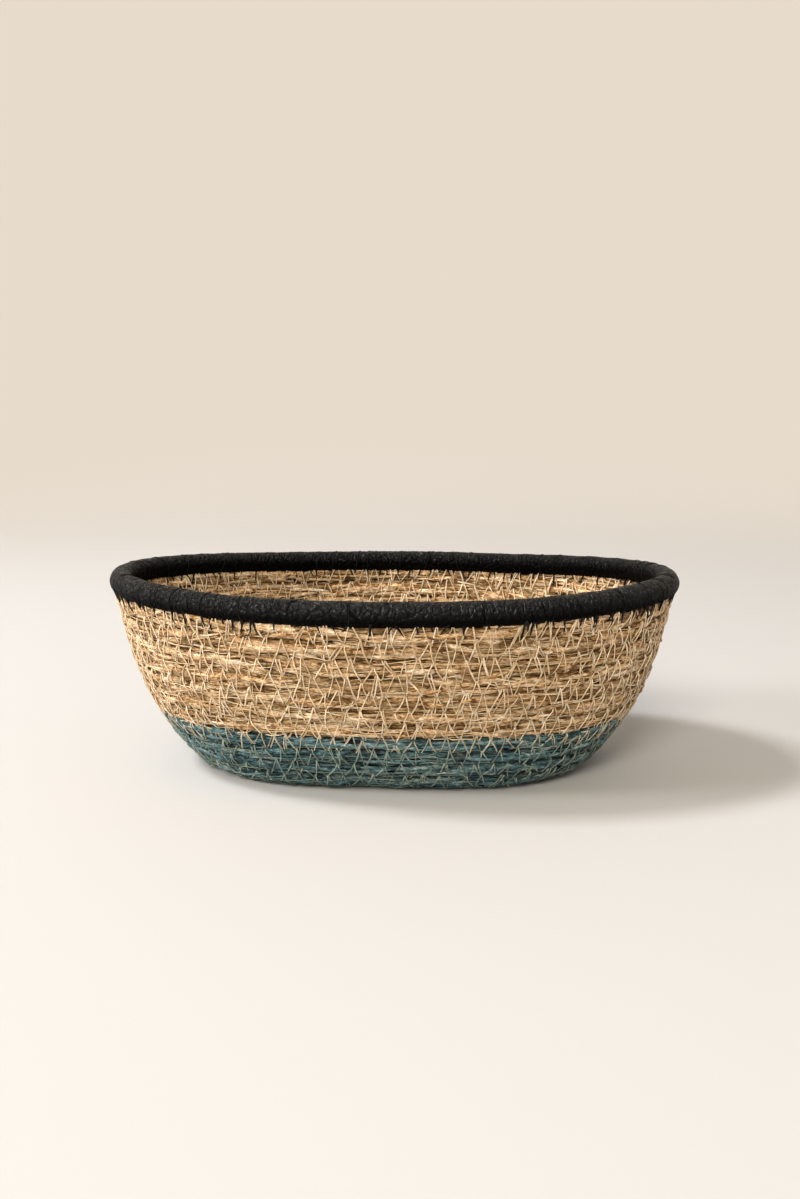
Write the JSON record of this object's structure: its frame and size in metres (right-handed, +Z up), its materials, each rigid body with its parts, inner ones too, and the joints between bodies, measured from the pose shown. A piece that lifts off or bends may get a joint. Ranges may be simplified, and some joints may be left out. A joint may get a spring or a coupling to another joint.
{
  "type": "seagrass basket",
  "caption": "Open oval basket coiled from seagrass, natural above a teal foot, sewn row to row with zigzag thread and bound with a black strip round the rim.",
  "frame": {"origin": "middle of the basket's outline, on the surface that it stands on", "axes": "+X along the basket's length, +Y across it, +Z up out of the mouth"},
  "size_m": [0.1998, 0.1398, 0.0699],
  "materials": {
    "natural_grass": "dry matt grass bundle, straw coloured with paler and browner blades",
    "teal_grass": "dry matt grass bundle, dyed dull teal",
    "straw_thread": "pale straw sewing fibre",
    "sage_thread": "grey green sewing fibre",
    "black_strip": "wrinkled black binding strip with a soft sheen",
    "black_thread": "black sewing thread"
  },
  "bodies": {
    "root": {"floor_coil": "teal_grass", "lower_wall_coil": "teal_grass", "upper_wall_coil": "natural_grass", "rim_core": "natural_grass", "rim_binding": "black_strip", "rim_stitches": "black_thread", "floor_stitch_row_1": "sage_thread", "floor_stitch_row_2": "sage_thread", "floor_stitch_row_3": "sage_thread", "floor_stitch_row_4": "sage_thread", "floor_stitch_row_5": "sage_thread", "wall_stitch_row_02": "sage_thread", "wall_stitch_row_03": "sage_thread", "wall_stitch_row_04": "sage_thread", "wall_stitch_row_05": "straw_thread", "wall_stitch_row_06": "straw_thread", "wall_stitch_row_07": "straw_thread", "wall_stitch_row_08": "straw_thread", "wall_stitch_row_09": "straw_thread", "wall_stitch_row_10": "straw_thread", "wall_stitch_row_11": "straw_thread"}
  },
  "joints": []
}
